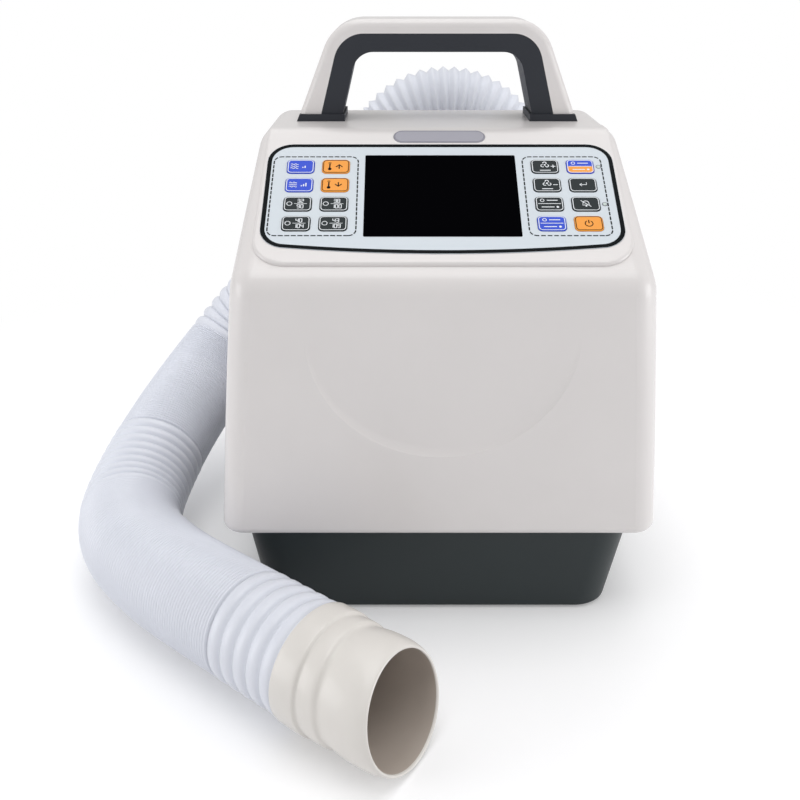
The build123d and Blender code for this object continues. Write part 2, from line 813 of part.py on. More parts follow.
def build_elbow():
    """Outlet elbow on the rear cover, turning up into the hose's cuff."""
    start = Vector(outlet_x, rear_y - wall - duct_gap, outlet_z)
    bend = Vector(outlet_x, rear_y + elbow_reach - elbow_bend, outlet_z)
    up = Vector(outlet_x, hose_y, outlet_z + elbow_bend)
    end = Vector(outlet_x, hose_y, outlet_z + elbow_bend + elbow_rise)
    path = Line(start, bend) + TangentArc(bend, up, tangent=(0, 1, 0)) + Line(up, end)
    ring = Circle(outlet_radius) - Circle(outlet_radius - outlet_wall)
    mouth = Plane(origin=start, z_dir=(0, 1, 0), x_dir=(1, 0, 0))
    elbow = sweep(mouth * ring, path=path)
    collar = Circle(outlet_flange_radius) - Circle(outlet_radius - 0.5)
    flange_plane = Plane(origin=(outlet_x, rear_y, outlet_z), z_dir=(0, 1, 0), x_dir=(1, 0, 0))
    elbow += extrude(flange_plane * collar, outlet_flange)
    for x, z in elbow_screw_places():
        elbow -= Pos(x, rear_y, z) * Rot(90, 0, 0) * Cylinder(screw_radius, 30)
    return elbow


def elbow_screw_places():
    """Screws of the elbow's flange: x and z."""
    reach = (outlet_radius + outlet_flange_radius) / 2 + 0.3
    for i in range(4):
        angle = math.radians(45 + 90 * i)
        yield outlet_x + reach * math.cos(angle), outlet_z + reach * math.sin(angle)


def build_cuff():
    """Cuff that joins the hose to the elbow."""
    low = cuff_top - cuff_length
    cuff = Cylinder(hose_radius + 0.6, cuff_length, align=rising)
    cuff = fillet(cuff.edges().group_by(Axis.Z)[0], 2)
    cuff -= Cylinder(outlet_radius + fit_gap, 2 * cuff_overlap)
    cuff -= Cylinder(outlet_radius - outlet_wall, 3 * cuff_length)
    return Pos(outlet_x, hose_y, low) * cuff


def hose_path():
    """The hose's middle line: straight runs joined by arcs as large as the runs allow."""
    points = [Vector(*p) for p in hose_route]
    radii = []
    for before, corner, after in zip(points, points[1:], points[2:]):
        arriving = corner - before
        leaving = after - corner
        turn = math.radians(arriving.get_angle(leaving))
        radii.append(0.45 * min(arriving.length, leaving.length) / math.tan(turn / 2))
    print("hose radii", [round(r) for r in radii])
    return FilletPolyline(*points, radius=radii)


def ring_at(path, distance, radius):
    """A many-sided ring square to the hose's middle line, with a steady X axis."""
    share = min(max(distance / path.length, 0.0), 1.0)
    tangent = path % share
    across = tangent.cross(Vector(0.35, 0.2, 0.91)).normalized()
    return Plane(origin=path @ share, x_dir=across, z_dir=tangent) * RegularPolygon(radius, hose_sides).wire()


def hose_rings(path):
    """Distances and radii of the rings: four to each pleat, valley, rise, crest and fall."""
    rings = [(0.0, hose_radius)]
    start = 0.0
    for share, count, depth in hose_stretches:
        pitch = share * path.length / count
        for i in range(count):
            begin = start + i * pitch
            rings.append((begin + 0.15 * pitch, hose_radius - depth))
            rings.append((begin + 0.35 * pitch, hose_radius - depth))
            rings.append((begin + 0.55 * pitch, hose_radius))
            rings.append((begin + 0.95 * pitch, hose_radius))
        start += share * path.length
    return rings[:-1] + [(path.length, hose_radius)]


def build_hose():
    """Pleated hose with its bore."""
    path = hose_path()
    rings = hose_rings(path)
    outer = Solid.make_loft([ring_at(path, d, r) for d, r in rings], ruled=True)
    bore_rings = [d for d, _ in rings[::6]]
    if bore_rings[-1] < path.length:
        bore_rings.append(path.length)
    bore = Solid.make_loft([ring_at(path, d, hose_bore) for d in bore_rings], ruled=True)
    hose = outer - bore
    plain = math.pi * (hose_radius**2 - hose_bore**2) * path.length
    print("hose length", round(path.length), "volume", round(hose.volume), "as a plain tube", round(plain))
    return hose


def nozzle_planes():
    """A plane at each step of the nozzle, on its slightly bent axis."""
    total = nozzle_steps[-1][0]
    place = Vector(*hose_route[-1])
    last = 0.0
    for along, _ in nozzle_steps:
        share = (along + last) / 2 / total
        place = place + nozzle_direction(share, -nozzle_drop) * (along - last)
        last = along
        normal = nozzle_direction(along / total, mouth_lean * along / total)
        yield Plane(origin=place, x_dir=normal.cross(Vector(0, 0, 1)), z_dir=normal)


def nozzle_direction(share, lift_degrees):
    """Direction at a share of the nozzle's length, turned up by an angle."""
    (x0, y0, _), (x1, y1, _) = hose_route[-2:]
    yaw = math.atan2(y0 - y1, x1 - x0) - math.radians(nozzle_turn * share)
    lift = math.radians(lift_degrees)
    return Vector(math.cos(yaw) * math.cos(lift), -math.sin(yaw) * math.cos(lift), math.sin(lift))


def build_nozzle():
    """Stepped nozzle at the hose's end, open right through."""
    planes = list(nozzle_planes())
    outer = loft([p * Circle(r) for p, (_, r) in zip(planes, nozzle_steps)], ruled=True)
    inner = loft([p * Circle(r - nozzle_wall) for p, (_, r) in zip(planes, nozzle_steps)], ruled=True)
    return outer - inner


def build_socket():
    """Mains inlet: flange, shroud and three pins."""
    flange = Box(inlet_width + 20, 2.5, inlet_height + 4, align=rearward)
    body = Box(inlet_width, 16, inlet_height, align=forward)
    cavity = Pos(0, 3, 0) * Box(inlet_width - 4, 15, inlet_height - 4, align=forward)
    socket = flange + body - cavity
    pin = Box(2, 14, 4, align=rearward)
    pins = [Pos(x, -13, z) * pin for x, z in ((-7, 0), (7, 0), (0, 4))]
    for x in (-1, 1):
        socket -= Pos(x * socket_screw, 0, 0) * Rot(90, 0, 0) * Cylinder(screw_radius, 20)
    return Pos(socket_x, rear_y, mains_z) * (socket + pins)


def build_rocker():
    """Rocker of the mains switch and the frame that holds it."""
    frame = Box(rocker_width + 8, 2, rocker_height + 8, align=rearward)
    frame += Box(rocker_width + 4, 16, rocker_height + 4, align=forward)
    frame -= Pos(0, 3, 0) * Box(rocker_width + 0.8, 16, rocker_height + 0.8, align=forward)
    pin = Pos(0, -5, 0) * Rot(0, 90, 0) * Cylinder(1.5, rocker_width + 3)
    frame -= pin
    half = rocker_height / 2 - 1.6
    outline = Polyline((-half, -7), (half, -7), (half, 3), (0, 0.6), (-half, 3), close=True)
    paddle = extrude(Plane.YZ * Rot(0, 0, -90) * make_face(outline), rocker_width / 2, both=True)
    axle = Pos(0, -5, 0) * Rot(0, 90, 0) * Cylinder(1.5 - running_gap, rocker_width + 2)
    turned = Pos(0, -5, 0) * Rot(rocker_tilt, 0, 0) * Pos(0, 5, 0) * paddle
    place = Pos(rocker_x, rear_y, mains_z)
    return place * frame, place * (turned + axle)


def build_power_board():
    """Power board on the rear cover's standoffs, with its larger parts."""
    y = rear_y - wall - 10
    board = Box(84, board_thickness, 46)
    board += Pos(-22, -12, 4) * Box(30, 24, 30)
    board += Pos(18, -9, 10) * Rot(90, 0, 0) * Cylinder(7, 26)
    board += Pos(26, -7, -12) * Box(20, 14, 12)
    for x in (-1, 1):
        board -= Pos(x * 38, 0, 19) * Rot(90, 0, 0) * Cylinder(screw_radius, 20)
    return Pos(power_board_x(), y, power_board_z()) * board


def power_board_x():
    """Middle of the power board across the unit."""
    return socket_x + 36


def power_board_z():
    """Middle height of the power board."""
    return mains_z + 48


def build_standoffs():
    """Standoffs of the power board on the rear cover."""
    posts = []
    for x in (-1, 1):
        place = Pos(power_board_x() + x * 38, rear_y - wall, power_board_z() + 19)
        post = Cylinder(4, 10 - board_thickness / 2, align=rising)
        posts.append(place * Rot(90, 0, 0) * (post - Cylinder(screw_radius - 0.3, 30)))
    return posts


def screw(head_first, axis_turn, length, head=screw_head, radius=screw_radius - 0.05):
    """A pan-head screw whose head's underside is at head_first, turned onto its axis."""
    shank = Cylinder(radius, length, align=rising)
    cap = Cylinder(head, 2.2, align=hanging)
    return Pos(*head_first) * axis_turn * (shank + cap)


def build_housing_screws():
    """Screws of the rear cover, the elbow's flange and the socket."""
    turned = Rot(90, 0, 0)
    seat = rear_y - 2.5
    screws = [screw((x, seat, z), turned, rear_cover_depth + 8) for x, z in cover_screw_places()]
    seat = rear_y + outlet_flange
    screws += [screw((x, seat, z), turned, outlet_flange + wall) for x, z in elbow_screw_places()]
    for side in (-1, 1):
        x = socket_x + side * socket_screw
        screws.append(screw((x, rear_y + 2.5, mains_z), turned, wall + 2.5, 2.6))
    return Compound(children=screws)


def build_buzzer():
    """Sounder under the control board."""
    can = Cylinder(6, 7, align=hanging)
    can -= Pos(0, 0, -7) * Cylinder(1.2, 4)
    return on_face(can, 60, display_middle - 24, -board_drop - board_thickness)


def finish_rear_cover(cover):
    """Adds the standoffs and drills the flange screws' holes."""
    for post in build_standoffs():
        cover += post
    for x, z in elbow_screw_places():
        cover -= Pos(x, rear_y, z) * Rot(90, 0, 0) * Cylinder(screw_radius, 30)
    for side in (-1, 1):
        place = Pos(socket_x + side * socket_screw, rear_y, mains_z)
        cover -= place * Rot(90, 0, 0) * Cylinder(screw_radius, 30)
    return cover


def all_parts():
    """Every node of the assembly by name."""
    parts = {}
    parts["front_shell"], cover = build_shells()
    parts["rear_cover"] = finish_rear_cover(cover)
    parts["base_tray"] = build_base()
    parts["rubber_feet"] = build_feet()
    parts["air_filter"] = build_filter()
    parts["filter_cover"] = build_filter_cover()
    parts["handle_cover"], parts["handle_grip"] = build_handle()
    parts["handle_screws"] = build_handle_screws()
    parts["control_panel"] = build_panel()
    parts["display_lens"] = build_display_lens()
    parts["display_module"] = build_display()
    parts["alarm_lamp_lens"] = build_lamp()
    parts["status_leds"] = build_leds()
    parts["control_board"] = build_board()
    parts["board_screws"] = build_board_screws()
    parts["key_switches"] = build_key_switches()
    for row, column, x, s in key_centres():
        parts[f"key_{row}_{column}"] = build_key(x, s)
    parts["scroll_lower"], parts["scroll_upper"] = build_scroll()
    parts["fan_wheel"], parts["fan_shaft"] = build_wheel()
    parts["fan_motor"] = build_motor()
    parts["heater_duct"], parts["heater_element"], parts["thermostat"] = build_heater()
    parts["outlet_elbow"] = build_elbow()
    parts["hose_cuff"] = build_cuff()
    parts["hose"] = build_hose()
    parts["nozzle"] = build_nozzle()
    parts["mains_inlet"] = build_socket()
    parts["switch_frame"], parts["power_rocker"] = build_rocker()
    parts["power_board"] = build_power_board()
    parts["buzzer"] = build_buzzer()
    parts["housing_screws"] = build_housing_screws()
    return parts


os.makedirs("parts", exist_ok=True)
for name, shape in all_parts().items():
    export_step(shape, f"parts/{name}.step")
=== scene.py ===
import json
import math

import bpy
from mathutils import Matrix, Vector

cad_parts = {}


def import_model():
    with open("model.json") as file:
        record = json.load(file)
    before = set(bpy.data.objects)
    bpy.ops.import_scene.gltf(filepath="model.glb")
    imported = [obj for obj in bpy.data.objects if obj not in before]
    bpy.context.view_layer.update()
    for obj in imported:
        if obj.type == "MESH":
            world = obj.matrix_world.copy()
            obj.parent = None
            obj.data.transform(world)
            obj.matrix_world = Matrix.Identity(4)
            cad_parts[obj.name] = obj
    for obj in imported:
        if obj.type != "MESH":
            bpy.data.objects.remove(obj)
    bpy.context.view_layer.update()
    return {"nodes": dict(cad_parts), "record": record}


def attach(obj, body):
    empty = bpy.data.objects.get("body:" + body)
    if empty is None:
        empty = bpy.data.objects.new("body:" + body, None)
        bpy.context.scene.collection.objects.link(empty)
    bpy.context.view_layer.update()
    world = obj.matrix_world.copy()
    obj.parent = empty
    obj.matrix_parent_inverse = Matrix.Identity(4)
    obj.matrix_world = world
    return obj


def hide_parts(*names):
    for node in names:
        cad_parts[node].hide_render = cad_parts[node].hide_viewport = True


MM = 0.001

# Sizes that repeat the solids' own
FRONT_Y = -158.0
CREASE_Z = 262.0
SLOPE = math.radians(30.6)
PANEL_TOP = 2.9
PANEL_WIDTH = 236.0
PANEL_START = 28.8
PANEL_END = 124.8
PANEL_BOW = 7.0
PANEL_ROUND = 17.0
DISPLAY_WIDTH = 101.6
DISPLAY_HEIGHT = 76.2
DISPLAY_MIDDLE = 75.0
KEY_ROWS = 4
KEY_PITCH = 17.95
KEY_WIDTH = 18.5
KEY_HEIGHT = 13.4
KEY_COLUMNS = (-95.0, -71.0, 71.0, 95.0)
KEY_TOP = 3.4
LAMP_MIDDLE = 133.2
LAMP_LENGTH = 64.0
LAMP_WIDTH = 12.6
LED_X = 107.5
LED_RADIUS = 1.2
LED_ROWS = (1, 3)

# Prints: their height over what carries them, their outlines and the widths of their lines
PRINT = 0.06
BORDER_OUTSIDE = 0.1
BORDER_INSIDE = 3.0
FRAMES = ((-84.7, 57.4), (82.8, 53.6))
FRAME_HEIGHT = 74.5
FRAME_DROP = 0.3
FRAME_ROUND = 5.0
FRAME_LINE = 0.9
DASH_PITCH = 4.2
DASH = 3.2
DASH_STEP = 0.3
DISPLAY_OUTSET = 0.1
DISPLAY_ROUND = 0.6
DISPLAY_LINE = 0.7
LAMP_INSET = 0.85
LAMP_LINE = 0.5
LED_LINE = 0.45
KEY_LINE_INSET = 0.8
KEY_LINE_ROUND = 2.3
KEY_LINE = 0.5
KEY_HALF_INSET = 0.45
KEY_HALF_ROUND = 2.6

# Steps of curved outlines
RING_STEPS = 28
DISC_STEPS = 16
CORNER_STEPS = 6
LAMP_STEPS = 10
PANEL_STEPS = 8
BOW_STEPS = 24

# Rocker of the mains switch, on the rear
REAR_Y = 74.0
ROCKER_X = -58.0
MAINS_Z = 116.0
ROCKER_TILT = 9.0
ROCKER_PIVOT = 5.0
ROCKER_LOW = 0.6
ROCKER_RISE = 2.4
ROCKER_HALF = 9.4

# Hose: the route of its middle line, where it leaves the unit, its length and its radii
HOSE_ROUTE = (
    (67.5, 124.0, 208.0),
    (69.0, 124.0, 243.0),
    (67.5, 124.0, 289.0),
    (35.0, 125.0, 323.0),
    (-11.0, 125.0, 323.0),
    (-41.8, 124.6, 288.8),
    (-70.0, 124.0, 253.0),
    (-131.0, 124.0, 176.0),
    (-191.0, 119.0, 110.0),
    (-229.0, 34.0, 70.0),
    (-246.0, -46.0, 44.0),
    (-238.0, -105.0, 41.0),
    (-201.0, -151.0, 40.5),
    (-158.0, -189.0, 41.4),
    (-81.5, -250.5, 41.8),
)
HOSE_RADIUS = 39.5
HOSE_BORE = 34.0
HOSE_END_INSET = 0.4
HOSE_END_WALL = 4.0
HOSE_SIDES = 84
BORE_RINGS = 60
LINE_STEPS = 48

# Stretches of the hose: share of its length, pitch, depth and sharpness of its folds, and inset
HOSE_STRETCHES = (
    (0.395, 5.8, 3.6, 1.0, 0.0),
    (0.105, 12.0, 3.0, 2.6, 0.0),
    (0.139, 2.5, 1.3, 1.6, 0.5),
    (0.098, 9.8, 3.2, 2.4, 0.0),
    (0.197, 2.5, 0.9, 1.6, 0.3),
    (0.066, 12.0, 3.0, 2.6, 0.0),
)
WIDE_PITCH = 8.0
WIDE_FOLD_STEPS = 12
FOLD_STEPS = 8

# Nozzle: its bent axis, the lean of its mouth, and its outline as length along the axis and radius
NOZZLE_LENGTH = 70.0
NOZZLE_TURN = 6.5
NOZZLE_DROP = 1.6
MOUTH_LEAN = 14.0
NOZZLE_SIDES = 96
NOZZLE_STEPS = 60
NOZZLE_OUTSIDE = (
    (0.0, 38.6), (0.0, 39.9), (0.5, 40.5), (1.6, 40.8), (6.0, 40.9), (12.0, 41.0), (17.0, 41.0),
    (18.2, 40.8), (18.9, 40.2), (19.5, 39.3), (20.6, 39.1), (22.4, 39.6), (26.0, 39.9),
    (31.0, 39.9), (32.8, 39.7), (33.8, 39.0), (34.8, 38.2), (36.4, 38.0), (39.0, 38.5),
    (43.0, 39.3), (48.0, 39.9), (54.0, 40.2), (59.0, 40.2), (63.0, 40.0), (66.0, 39.5),
    (68.2, 38.9), (69.3, 38.4), (69.9, 37.8), (70.0, 37.2), (69.6, 36.6),
)
NOZZLE_INSIDE = (
    (68.6, 36.4), (60.0, 37.4), (50.0, 37.4), (40.0, 36.3), (20.0, 36.8), (0.5, 37.6), (0.0, 38.2),
)

# Surface of the moulded materials: size and edges of their mottle, spread of gloss, height of grain
MOTTLE_SCALE = 18.0
MOTTLE_LOW = 0.3
MOTTLE_HIGH = 0.7
GLOSS_SPREAD = 0.06
LEAST_ROUGHNESS = 0.02
GRAIN_HEIGHT = 0.0002

# Stage: the floor, which turns to plain white between two distances from the middle, and the light
WHITE = (1.0, 1.0, 1.0, 1.0)
FLOOR_HALF = 6.0
FLOOR_COLOUR = (0.86, 0.86, 0.87, 1.0)
FLOOR_GLOW = 0.20
FADE_START = 0.34
FADE_END = 0.75
WORLD_STRENGTH = 0.56

# Lamps: name, place, target, size and power in watts
LAMPS = (
    ("left_light", (-1.4, -0.5, 0.35), (0, 0, 0.15), 0.8, 5.0),
    ("right_light", (1.4, -0.5, 0.35), (0, 0, 0.15), 0.8, 7.0),
    ("top_light", (0.0, -0.4, 2.2), (0, 0, 0.2), 1.4, 14.0),
    ("back_light", (0.0, 0.9, 1.9), (0, 0, 0.2), 1.6, 8.0),
)

# Camera: its place, its tilt from straight down in degrees, its lens and its sensor
CAMERA_PLACE = (-0.0275, -0.7181, 0.4427)
CAMERA_TILT = 65.0
CAMERA_LENS = 42.255
CAMERA_SENSOR = 36.0


def face_point(x, s, n):
    """A place on the slope, in metres: x across, s up from the crease, n out of it."""
    y = FRONT_Y + s * math.cos(SLOPE) - n * math.sin(SLOPE)
    z = CREASE_Z + s * math.sin(SLOPE) + n * math.cos(SLOPE)
    return Vector((x, y, z)) * MM


def new_object(name, verts, faces, smooth=False):
    """A mesh object from points and faces."""
    mesh = bpy.data.meshes.new(name)
    mesh.from_pydata([tuple(v) for v in verts], [], faces)
    mesh.update()
    if smooth:
        mesh.polygons.foreach_set("use_smooth", [True] * len(mesh.polygons))
    made = bpy.data.objects.new(name, mesh)
    bpy.context.scene.collection.objects.link(made)
    return made


# Materials


def linear(colour):
    """A screen colour 0-255 as linear red, green, blue and alpha."""
    out = []
    for value in colour:
        c = value / 255.0
        out.append(c / 12.92 if c <= 0.04045 else ((c + 0.055) / 1.055) ** 2.4)
    return (*out, 1.0)


def node(tree, kind, **inputs):
    """A shader node with some of its sockets set."""
    made = tree.nodes.new(kind)
    for key, value in inputs.items():
        made.inputs[key.replace("_", " ")].default_value = value
    return made


def material(name, colour, roughness, mottle, grain, bump, **extra):
    """Moulded material: a slightly mottled colour, uneven gloss and a fine surface grain."""
    made = bpy.data.materials.new(name)
    made.use_nodes = True
    tree = made.node_tree
    shader = tree.nodes["Principled BSDF"]
    for key, value in extra.items():
        shader.inputs[key.replace("_", " ")].default_value = value
    place = node(tree, "ShaderNodeTexCoord")
    cloud = node(tree, "ShaderNodeTexNoise", Scale=MOTTLE_SCALE, Detail=4.0, Roughness=0.6)
    tree.links.new(place.outputs["Object"], cloud.inputs["Vector"])
    ramp = node(tree, "ShaderNodeValToRGB")
    base = linear(colour)[:3]
    dark, pale = ramp.color_ramp.elements
    dark.position = MOTTLE_LOW
    pale.position = MOTTLE_HIGH
    dark.color = (*[c * (1 - mottle) for c in base], 1.0)
    pale.color = (*[min(1.0, c * (1 + mottle)) for c in base], 1.0)
    tree.links.new(cloud.outputs["Fac"], ramp.inputs["Fac"])
    tree.links.new(ramp.outputs["Color"], shader.inputs["Base Color"])
    low = max(LEAST_ROUGHNESS, roughness - GLOSS_SPREAD)
    gloss = node(tree, "ShaderNodeMapRange", To_Min=low, To_Max=roughness + GLOSS_SPREAD)
    tree.links.new(cloud.outputs["Fac"], gloss.inputs["Value"])
    tree.links.new(gloss.outputs["Result"], shader.inputs["Roughness"])
    fine = node(tree, "ShaderNodeTexNoise", Scale=grain, Detail=2.0)
    tree.links.new(place.outputs["Object"], fine.inputs["Vector"])
    relief = node(tree, "ShaderNodeBump", Strength=bump, Distance=GRAIN_HEIGHT)
    tree.links.new(fine.outputs["Fac"], relief.inputs["Height"])
    tree.links.new(relief.outputs["Normal"], shader.inputs["Normal"])
    return made


def make_materials():
    """All materials by the name used below, those of the solids by their slot."""
    return {
        "shell": material(
            "shell_plastic", (221, 217, 216), 0.38, 0.012, 3200.0, 0.08,
            Coat_Weight=0.45, Coat_Roughness=0.16,
        ),
        "base": material(
            "base_plastic", (34, 42, 44), 0.45, 0.06, 2600.0, 0.22, Specular_IOR_Level=0.35
        ),
        "rubber": material("foot_rubber", (24, 24, 25), 0.85, 0.10, 1800.0, 0.30),
        "filter": material("filter_felt", (205, 209, 214), 0.95, 0.10, 900.0, 0.9),
        "handle_lining": material(
            "lining_plastic", (42, 45, 52), 0.5, 0.04, 2600.0, 0.22, Specular_IOR_Level=0.35
        ),
        "steel": material(
            "screw_steel", (176, 178, 182), 0.3, 0.05, 4000.0, 0.1, Metallic=1.0
        ),
        "overlay": material("overlay_film", (206, 214, 221), 0.38, 0.01, 3600.0, 0.04),
        "display": material(
            "display_glass", (5, 5, 7), 0.25, 0.02, 4000.0, 0.01, Specular_IOR_Level=0.0
        ),
        "module": material(
            "module_frame", (160, 162, 166), 0.4, 0.05, 3000.0, 0.1, Metallic=1.0
        ),
        "lamp": material("lamp_lens", (152, 151, 162), 0.3, 0.02, 1500.0, 0.03, Coat_Weight=0.1),
        "lamp_edge": material("lamp_edge", (122, 120, 132), 0.4, 0.02, 1500.0, 0.03),
        "led": material("led_lens", (196, 210, 204), 0.2, 0.02, 1500.0, 0.02),
        "board": material("board_lacquer", (28, 92, 54), 0.35, 0.12, 500.0, 0.25),
        "black_plastic": material("black_plastic", (32, 33, 35), 0.45, 0.06, 2600.0, 0.2),
        "key_dark": material(
            "key_dark", (26, 35, 38), 0.4, 0.04, 3000.0, 0.08, Specular_IOR_Level=0.18
        ),
        "key_blue": material(
            "key_blue", (42, 76, 208), 0.4, 0.04, 3000.0, 0.08, Specular_IOR_Level=0.25
        ),
        "key_orange": material(
            "key_orange", (244, 158, 56), 0.4, 0.04, 3000.0, 0.08, Specular_IOR_Level=0.3
        ),
        "blower": material("blower_plastic", (44, 45, 48), 0.5, 0.06, 2400.0, 0.2),
        "motor": material(
            "motor_steel", (150, 152, 156), 0.35, 0.06, 2400.0, 0.1, Metallic=1.0
        ),
        "duct": material("duct_sheet", (190, 192, 196), 0.3, 0.05, 2400.0, 0.1, Metallic=1.0),
        "cuff": material("cuff_plastic", (214, 216, 220), 0.45, 0.02, 2600.0, 0.12),
        "hose": material(
            "hose_vinyl", (221, 224, 233), 0.42, 0.02, 1400.0, 0.10, Coat_Weight=0.1
        ),
        "nozzle": material(
            "nozzle_plastic", (221, 217, 212), 0.4, 0.03, 2200.0, 0.10, Coat_Weight=0.2
        ),
        # Nozzle bore: the nozzle plastic darkened to a brownish grey as painted shade
        "inside": material("nozzle_inside_plastic", (180, 169, 159), 0.55, 0.05, 2200.0, 0.12),
        "white_print": material("white_print", (232, 236, 240), 0.5, 0.01, 3000.0, 0.02),
        "dark_print": material(
            "dark_print", (12, 17, 20), 0.5, 0.02, 3000.0, 0.02, Specular_IOR_Level=0.05
        ),
    }


def dress_solids(frame, mats):
    """Gives each carried-over solid the material of its slot."""
    slots = {entry["node"]: entry["material_slot"] for entry in frame["record"]["subparts"]}
    for name, solid in frame["nodes"].items():
        solid.data.materials.clear()
        solid.data.materials.append(mats[slots[name]])


# Prints, as flat films just over what carries them


def arc(x, s, radius, begin, end, steps):
    """Points of an arc from one angle to another, in degrees."""
    turns = [math.radians(begin + (end - begin) * i / steps) for i in range(steps + 1)]
    return [(x + radius * math.cos(turn), s + radius * math.sin(turn)) for turn in turns]


class Film:
    """Flat film, by default on the slope's plane, gathered from strips and patches in x and s."""

    def __init__(self, height, place=face_point):
        self.height = height
        self.place = place
        self.verts = []
        self.faces = []

    def patch(self, points):
        """A filled convex outline."""
        first = len(self.verts)
        self.verts += [self.place(x, s, self.height) for x, s in points]
        self.faces.append(tuple(range(first, first + len(points))))

    def band(self, outer, inner):
        """The band between two closed outlines of as many points each."""
        first = len(self.verts)
        self.verts += [self.place(x, s, self.height) for x, s in outer + inner]
        count = len(outer)
        for i in range(count):
            a = first + i
            b = first + (i + 1) % count
            self.faces.append((a, b, b + count, a + count))

    def strip(self, points, width, closed=False):
        """A line of a given width along points."""
        count = len(points)
        first = len(self.verts)
        for i, (x, s) in enumerate(points):
            before = points[i - 1] if closed or i else points[i]
            after = points[(i + 1) % count] if closed or i < count - 1 else points[i]
            along = Vector((after[0] - before[0], after[1] - before[1])).normalized()
            side = Vector((-along.y, along.x)) * width / 2
            self.verts.append(self.place(x + side.x, s + side.y, self.height))
            self.verts.append(self.place(x - side.x, s - side.y, self.height))
        for i in range(count if closed else count - 1):
            a = first + 2 * i
            b = first + 2 * ((i + 1) % count)
            self.faces.append((a, a + 1, b + 1, b))

    def dashes(self, outline, width):
        """A dashed line of a given width along points."""
        run = 0.0
        for (x0, s0), (x1, s1) in zip(outline, outline[1:]):
            length = math.hypot(x1 - x0, s1 - s0)
            pieces = max(1, round(length / DASH_STEP))
            for k in range(pieces):
                a, b = k / pieces, (k + 1) / pieces
                if (run + a * length) % DASH_PITCH < DASH:
                    start = (x0 + (x1 - x0) * a, s0 + (s1 - s0) * a)
                    end = (x0 + (x1 - x0) * b, s0 + (s1 - s0) * b)
                    self.strip([start, end], width)
            run += length

    def ring(self, x, s, radius, width, start=0.0, end=360.0):
        """A circle or an arc of a given line width."""
        self.strip(arc(x, s, radius, start, end, RING_STEPS), width)

    def disc(self, x, s, radius):
        """A filled circle."""
        self.patch(arc(x, s, radius, 0, 360, DISC_STEPS)[:-1])

    def make(self, name, mat, body):
        """The film as a piece that rides on a body."""
        made = new_object(name, self.verts, self.faces)
        made.data.materials.append(mat)
        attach(made, body)


def rounded(x, s, width, height, radius, steps=CORNER_STEPS):
    """Points of a rounded rectangle, counter-clockwise."""
    right, left = x + width / 2 - radius, x - width / 2 + radius
    low, high = s - height / 2 + radius, s + height / 2 - radius
    corners = ((right, low, -90), (right, high, 0), (left, high, 90), (left, low, 180))
    points = []
    for cx, cs, begin in corners:
        points += arc(cx, cs, radius, begin, begin + 90, steps)
    return points


def panel_outline(inset):
    """Points of the panel's outline, with its bowed lower edge, drawn in by inset."""
    half = PANEL_WIDTH / 2
    right = half - PANEL_ROUND
    high = PANEL_END - PANEL_ROUND

    def bow(x):
        return PANEL_START - PANEL_BOW * (1 - (x / half) ** 2)

    def corner(x, s, begin):
        return arc(x, s, PANEL_ROUND - inset, begin, begin + 90, PANEL_STEPS)

    points = corner(right, high, 0) + corner(-right, high, 90)
    points += corner(-right, bow(-right) + PANEL_ROUND, 180)
    for i in range(1, BOW_STEPS):
        x = -right + 2 * right * i / BOW_STEPS
        points.append((x, bow(x) + inset))
    return points + corner(right, bow(right) + PANEL_ROUND, 270)


def key_row(row):
    """Where the middle of a row of keys lies, up from the crease."""
    return DISPLAY_MIDDLE + KEY_PITCH * ((KEY_ROWS + 1) / 2 - row)


def add_panel_prints(mats):
    """Border of the panel, dashed frames round the keys, and edges of the display and the lamps."""
    height = PANEL_TOP + PRINT
    border = Film(height)
    border.band(panel_outline(BORDER_OUTSIDE), panel_outline(BORDER_INSIDE))
    border.make("panel_border", mats["dark_print"], "housing")

    frames = Film(height)
    for middle, width in FRAMES:
        outline = rounded(middle, DISPLAY_MIDDLE - FRAME_DROP, width, FRAME_HEIGHT, FRAME_ROUND)
        frames.dashes([*outline, outline[0]], FRAME_LINE)
    frames.make("key_frames", mats["dark_print"], "housing")

    edge = Film(height)
    width = DISPLAY_WIDTH + 2 * DISPLAY_OUTSET
    outline = rounded(
        0, DISPLAY_MIDDLE, width, DISPLAY_HEIGHT + 2 * DISPLAY_OUTSET, DISPLAY_ROUND
    )
    edge.strip(outline, DISPLAY_LINE, closed=True)
    edge.make("display_edge", mats["display"], "housing")

    rim = Film(height)
    width = LAMP_WIDTH - 2 * LAMP_INSET
    length = LAMP_LENGTH - 2 * LAMP_INSET
    rim.strip(rounded(0, LAMP_MIDDLE, length, width, width / 2, LAMP_STEPS), LAMP_LINE, closed=True)
    rim.make("lamp_edge", mats["lamp_edge"], "housing")

    rings = Film(height)
    for row in LED_ROWS:
        rings.ring(LED_X, key_row(row), LED_RADIUS + LED_LINE, LED_LINE)
    rings.make("led_rings", mats["lamp_edge"], "housing")


# Symbols on the keys: each takes the film and the symbol's middle, and draws about it


def thermometer(film, x, s):
    film.disc(x, s - 2.6, 1.25)
    film.strip([(x, s - 2.6), (x, s + 3.0)], 0.9)
    film.ring(x, s + 2.9, 0.9, 0.35, 0, 180)


def arrow(film, x, s, way):
    film.strip([(x - 2.2, s - 0.6 * way), (x, s + 1.6 * way), (x + 2.2, s - 0.6 * way)], 0.8)
    film.strip([(x, s - 2.4 * way), (x, s + 1.2 * way)], 0.8)


def fan(film, x, s):
    film.disc(x, s, 0.7)
    for angle in (90, 210, 330):
        bx = x + 1.7 * math.cos(math.radians(angle))
        bs = s + 1.7 * math.sin(math.radians(angle))
        film.ring(bx, bs, 1.15, 0.6, angle - 130, angle + 100)


def bars(film, x, s, count):
    for i in range(count):
        film.strip([(x + 1.5 * i, s - 1.6), (x + 1.5 * i, s - 0.6 + 1.1 * i)], 0.8)


